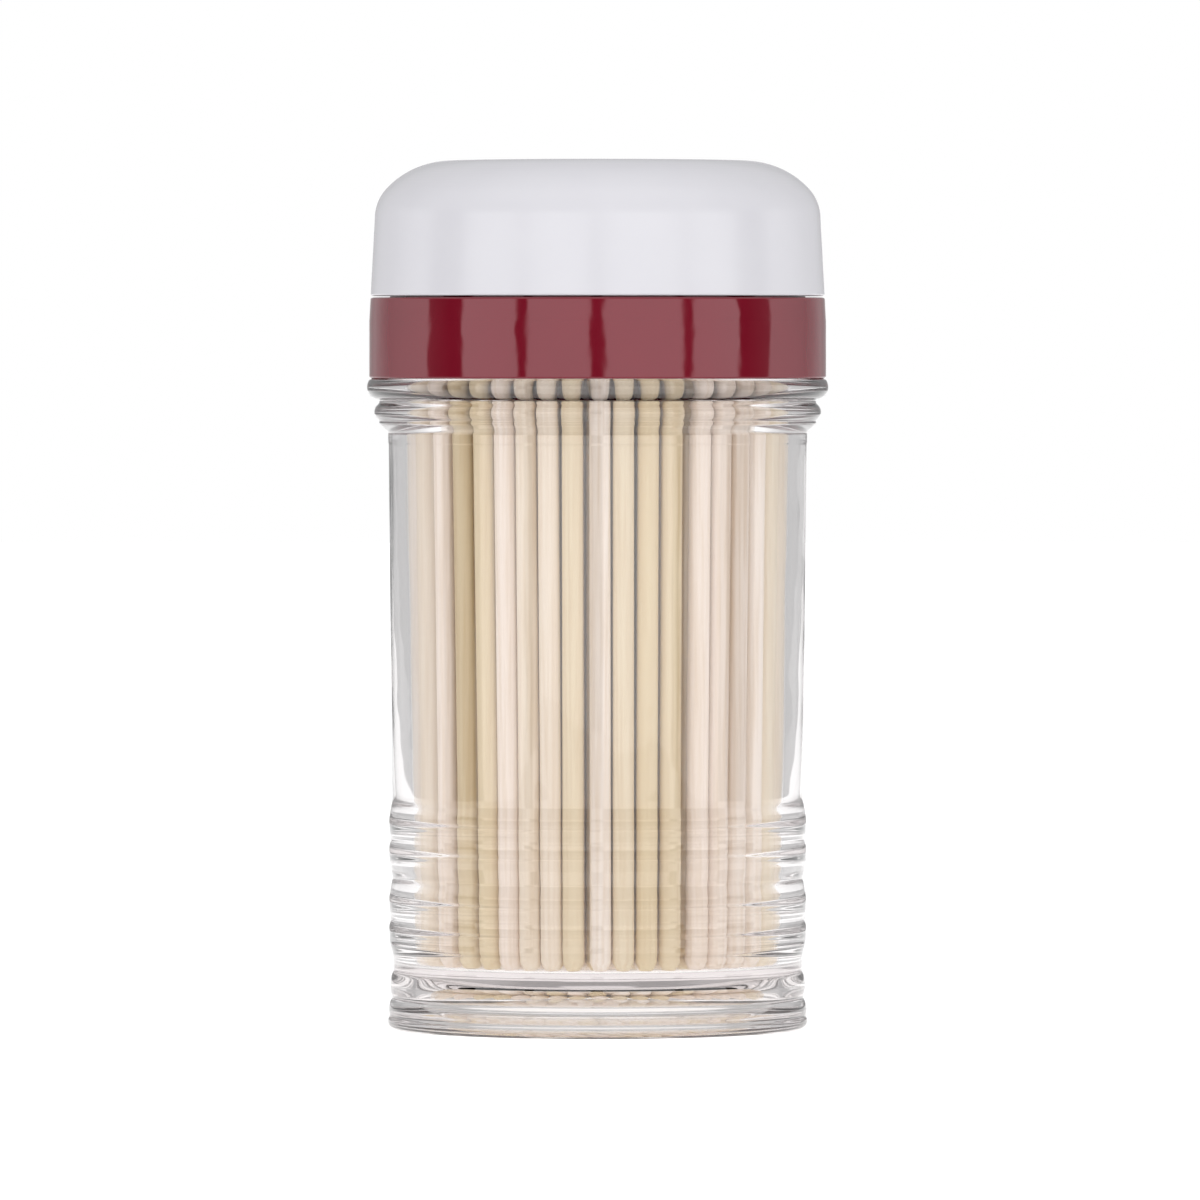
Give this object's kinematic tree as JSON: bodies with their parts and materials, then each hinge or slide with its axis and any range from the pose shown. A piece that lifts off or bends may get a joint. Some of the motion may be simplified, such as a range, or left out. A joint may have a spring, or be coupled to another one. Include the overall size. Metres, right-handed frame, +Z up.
{
  "type": "toothpick dispenser",
  "caption": "Clear ribbed cylindrical jar filled with upright wooden picks, under a two-tone domed twist cap that lets out one pick at a time.",
  "frame": {"origin": "on the table, at the middle of the jar's foot", "axes": "+Z up along the jar's axis, -Y towards the front, where the cap's hole is when the cap is closed"},
  "size_m": [0.0472, 0.0472, 0.0889],
  "materials": {
    "clear_plastic": "clear, polished",
    "maroon_plastic": "gloss",
    "white_plastic": "gloss",
    "pick_wood": "bare, smooth"
  },
  "bodies": {
    "jar_body": {"jar": "clear_plastic", "pick_01": "pick_wood", "pick_02": "pick_wood", "pick_03": "pick_wood", "pick_04": "pick_wood", "pick_05": "pick_wood", "pick_06": "pick_wood", "pick_07": "pick_wood", "pick_08": "pick_wood", "pick_09": "pick_wood", "pick_10": "pick_wood", "pick_11": "pick_wood", "pick_12": "pick_wood", "pick_13": "pick_wood", "pick_14": "pick_wood", "pick_15": "pick_wood", "pick_16": "pick_wood", "pick_17": "pick_wood", "pick_18": "pick_wood", "pick_19": "pick_wood", "pick_20": "pick_wood", "pick_21": "pick_wood", "pick_22": "pick_wood", "pick_23": "pick_wood", "pick_24": "pick_wood", "pick_25": "pick_wood", "pick_26": "pick_wood", "pick_27": "pick_wood", "pick_28": "pick_wood", "pick_29": "pick_wood", "pick_30": "pick_wood", "pick_31": "pick_wood", "pick_32": "pick_wood", "pick_33": "pick_wood", "pick_34": "pick_wood", "pick_35": "pick_wood", "pick_36": "pick_wood", "pick_37": "pick_wood", "pick_38": "pick_wood", "pick_39": "pick_wood", "pick_40": "pick_wood", "pick_41": "pick_wood", "pick_42": "pick_wood", "pick_43": "pick_wood", "pick_44": "pick_wood", "pick_45": "pick_wood", "pick_46": "pick_wood", "picks_ring_2": "pick_wood", "picks_ring_3": "pick_wood", "picks_ring_4": "pick_wood", "picks_ring_5": "pick_wood", "picks_ring_6": "pick_wood", "picks_ring_7": "pick_wood", "picks_ring_8": "pick_wood"},
    "collar_body": {"collar": "maroon_plastic"},
    "cap_body": {"cap": "white_plastic"}
  },
  "joints": [
    {"name": "collar_lift", "type": "slide", "parent": "jar_body", "child": "collar_body", "axis": [0, 0, 1], "range_m": [0, 0.03]},
    {"name": "cap_turn", "type": "hinge", "parent": "collar_body", "child": "cap_body", "pos_m": [0, 0, 0.0749], "axis": [0, 0, 1], "range_deg": [0, 90]}
  ]
}
